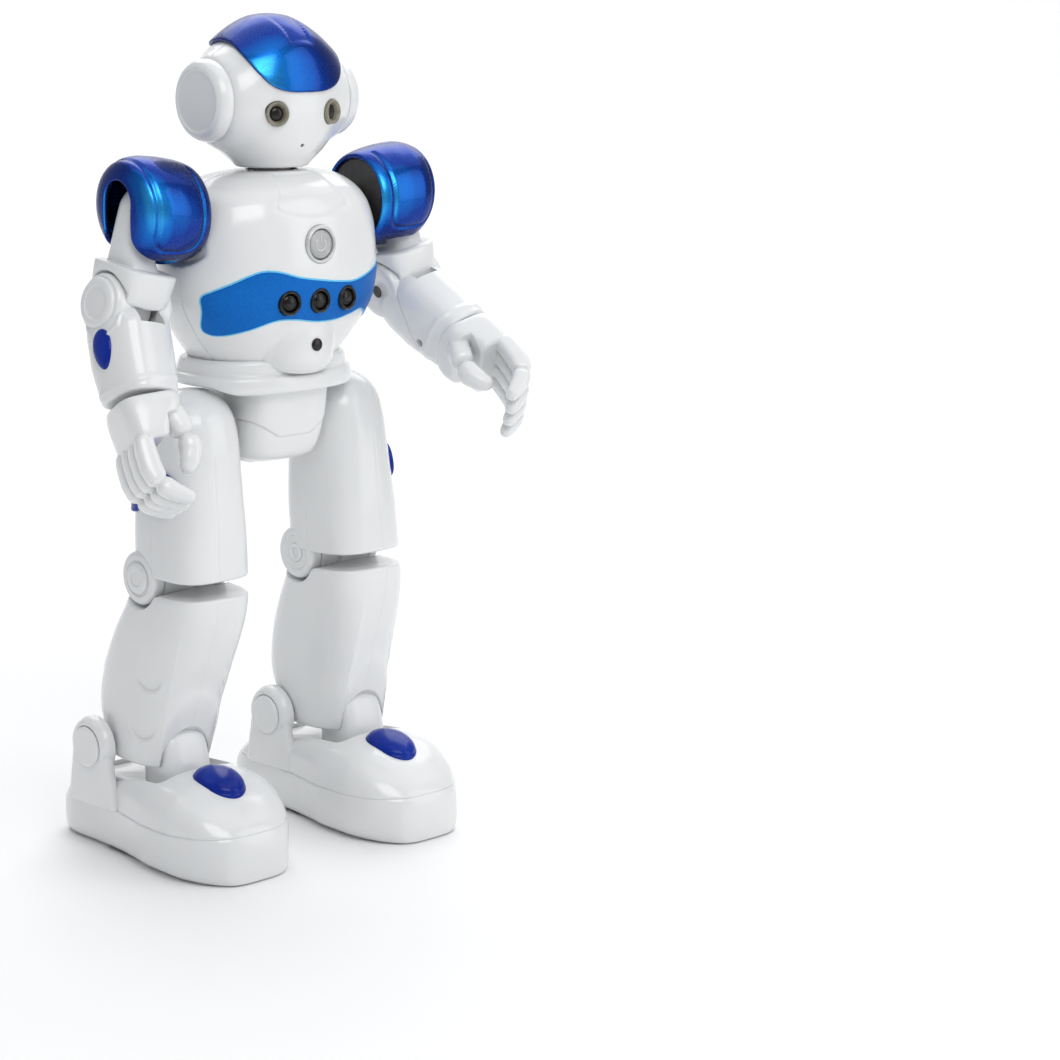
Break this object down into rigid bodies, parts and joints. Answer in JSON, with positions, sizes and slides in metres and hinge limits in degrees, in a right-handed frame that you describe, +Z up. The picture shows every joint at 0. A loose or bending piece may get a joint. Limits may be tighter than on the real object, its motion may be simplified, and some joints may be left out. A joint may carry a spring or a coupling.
{
  "type": "walking humanoid toy robot",
  "caption": "Walking humanoid toy robot with turning head, swinging arms, bending elbows, turning wrists, hinged legs and geared wheels in the feet.",
  "frame": {"origin": "centre of the bounding box on the surface that the feet stand on", "axes": "+Z up, -Y the way the robot faces, +X towards the robot's own left"},
  "size_m": [0.1402, 0.1186, 0.2648],
  "materials": {
    "white_shell": "gloss",
    "blue_metallic": "metallic gloss",
    "navy_gloss": "gloss",
    "chest_film": "satin",
    "black_lens": "gloss",
    "eye_ring": "satin",
    "silver_button": "satin",
    "circuit_board": "matte",
    "battery_wrap": "gloss",
    "dark_plastic": "matte",
    "steel": "satin",
    "gear_plastic": "satin",
    "rubber": "matte"
  },
  "bodies": {
    "torso": {"chest_front_shell": "white_shell", "chest_back_shell": "white_shell", "chest_band": "chest_film", "infrared_lenses": "black_lens", "button_bezel": "silver_button", "main_board": "circuit_board", "battery_pack": "battery_wrap", "battery_door": "white_shell", "charge_socket": "dark_plastic", "torso_screws": "steel", "waist_ring": "white_shell", "pelvis_front_shell": "white_shell", "pelvis_back_shell": "white_shell", "hip_rod": "steel", "speaker": "dark_plastic", "neck_post": "white_shell"},
    "head": {"head_front_shell": "white_shell", "head_back_shell": "white_shell", "crest_cover": "blue_metallic", "ear_cap_right": "white_shell", "ear_cap_left": "white_shell", "eye_rings": "eye_ring", "eye_lamps": "black_lens"},
    "power_button": {"power_button": "silver_button"},
    "right_shoulder": {"shoulder_cowl_right": "blue_metallic"},
    "right_upper_arm": {"upper_arm_right": "white_shell", "elbow_pin_right": "steel"},
    "right_forearm": {"forearm_shell_right": "white_shell", "forearm_button_right": "navy_gloss"},
    "right_hand": {"hand_right": "white_shell"},
    "right_thigh": {"thigh_shell_right": "white_shell", "thigh_trim_right": "navy_gloss", "knee_pin_right": "white_shell"},
    "right_shin": {"shin_shell_right": "white_shell", "ankle_pin_right": "white_shell"},
    "right_foot": {"foot_cover_right": "white_shell", "sole_tub_right": "white_shell", "foot_button_right": "navy_gloss", "drive_motor_right": "steel"},
    "right_wheels": {"drive_axle_right": "gear_plastic", "drive_wheels_right": "rubber"},
    "right_pinion": {"motor_pinion_right": "steel"},
    "left_shoulder": {"shoulder_cowl_left": "blue_metallic"},
    "left_upper_arm": {"upper_arm_left": "white_shell", "elbow_pin_left": "steel"},
    "left_forearm": {"forearm_shell_left": "white_shell", "forearm_button_left": "navy_gloss"},
    "left_hand": {"hand_left": "white_shell"},
    "left_thigh": {"thigh_shell_left": "white_shell", "thigh_trim_left": "navy_gloss", "knee_pin_left": "white_shell"},
    "left_shin": {"shin_shell_left": "white_shell", "ankle_pin_left": "white_shell"},
    "left_foot": {"foot_cover_left": "white_shell", "sole_tub_left": "white_shell", "foot_button_left": "navy_gloss", "drive_motor_left": "steel"},
    "left_wheels": {"drive_axle_left": "gear_plastic", "drive_wheels_left": "rubber"},
    "left_pinion": {"motor_pinion_left": "steel"}
  },
  "joints": [
    {"name": "head_turn", "type": "hinge", "parent": "torso", "child": "head", "pos_m": [0.00082, -0.00111, 0.22], "axis": [0, 0, 1], "range_deg": [-40, 40]},
    {"name": "power_button_press", "type": "slide", "parent": "torso", "child": "power_button", "axis": [0, 1, 0], "range_m": [0, 0.0006], "stiffness_N_per_m": 600, "springref_m": -0.0005},
    {"name": "right_shoulder_swing", "type": "hinge", "parent": "torso", "child": "right_shoulder", "pos_m": [-0.04618, -0.00061, 0.2075], "axis": [-1, 0, 0], "range_deg": [-5, 100]},
    {"name": "right_arm_lift", "type": "hinge", "parent": "right_shoulder", "child": "right_upper_arm", "pos_m": [-0.04618, -0.00061, 0.2075], "axis": [0, 0.9903, 0.1392], "range_deg": [-3, 22]},
    {"name": "right_elbow_bend", "type": "hinge", "parent": "right_upper_arm", "child": "right_forearm", "pos_m": [-0.05267, 0.00347, 0.1785], "axis": [-0.9763, -0.0301, 0.2143], "range_deg": [-8, 25]},
    {"name": "right_wrist_turn", "type": "hinge", "parent": "right_forearm", "child": "right_hand", "pos_m": [-0.05806, -0.00977, 0.15212], "axis": [0.0245, 0.431, 0.902], "range_deg": [-30, 30]},
    {"name": "right_hip_swing", "type": "hinge", "parent": "torso", "child": "right_thigh", "pos_m": [-0.02918, 0.00489, 0.136], "axis": [-1, 0, 0], "range_deg": [-12, 12]},
    {"name": "right_knee_bend", "type": "hinge", "parent": "right_thigh", "child": "right_shin", "pos_m": [-0.02968, 0.01316, 0.09162], "axis": [1, 0, 0], "range_deg": [0, 18]},
    {"name": "right_ankle_tilt", "type": "hinge", "parent": "right_shin", "child": "right_foot", "pos_m": [-0.03318, 0.0318, 0.03473], "axis": [1, 0, 0], "range_deg": [-10, 10]},
    {"name": "right_wheel_spin", "type": "hinge", "parent": "right_foot", "child": "right_wheels", "pos_m": [-0.03258, 0.0218, 0.0085], "axis": [1, 0, 0], "continuous": true},
    {"name": "right_pinion_spin", "type": "hinge", "parent": "right_foot", "child": "right_pinion", "pos_m": [-0.03258, 0.01318, 0.0085], "axis": [1, 0, 0], "continuous": true},
    {"name": "left_shoulder_swing", "type": "hinge", "parent": "torso", "child": "left_shoulder", "pos_m": [0.04782, -0.00061, 0.2075], "axis": [-1, 0, 0], "range_deg": [-12, 90]},
    {"name": "left_arm_lift", "type": "hinge", "parent": "left_shoulder", "child": "left_upper_arm", "pos_m": [0.04782, -0.00061, 0.2075], "axis": [0, -0.9998, 0.0175], "range_deg": [-3, 22]},
    {"name": "left_elbow_bend", "type": "hinge", "parent": "left_upper_arm", "child": "left_forearm", "pos_m": [0.05431, -0.00112, 0.17822], "axis": [-0.9763, -0.0038, -0.2164], "range_deg": [-16, 5]},
    {"name": "left_wrist_turn", "type": "hinge", "parent": "left_forearm", "child": "left_hand", "pos_m": [0.05813, -0.02569, 0.16143], "axis": [0.0271, 0.8094, 0.5866], "range_deg": [-30, 30]},
    {"name": "left_hip_swing", "type": "hinge", "parent": "torso", "child": "left_thigh", "pos_m": [0.03082, 0.00489, 0.136], "axis": [-1, 0, 0], "range_deg": [-12, 12]},
    {"name": "left_knee_bend", "type": "hinge", "parent": "left_thigh", "child": "left_shin", "pos_m": [0.03132, 0.01061, 0.09122], "axis": [1, 0, 0], "range_deg": [0, 18]},
    {"name": "left_ankle_tilt", "type": "hinge", "parent": "left_shin", "child": "left_foot", "pos_m": [0.03482, 0.02596, 0.03335], "axis": [1, 0, 0], "range_deg": [-10, 10]},
    {"name": "left_wheel_spin", "type": "hinge", "parent": "left_foot", "child": "left_wheels", "pos_m": [0.03422, 0.01596, 0.0085], "axis": [1, 0, 0], "continuous": true},
    {"name": "left_pinion_spin", "type": "hinge", "parent": "left_foot", "child": "left_pinion", "pos_m": [0.03422, 0.00734, 0.0085], "axis": [1, 0, 0], "continuous": true}
  ],
  "couplings": [
    {"joint": "right_pinion_spin", "follows": "right_wheel_spin", "ratio": -2.4},
    {"joint": "left_pinion_spin", "follows": "left_wheel_spin", "ratio": -2.4}
  ]
}
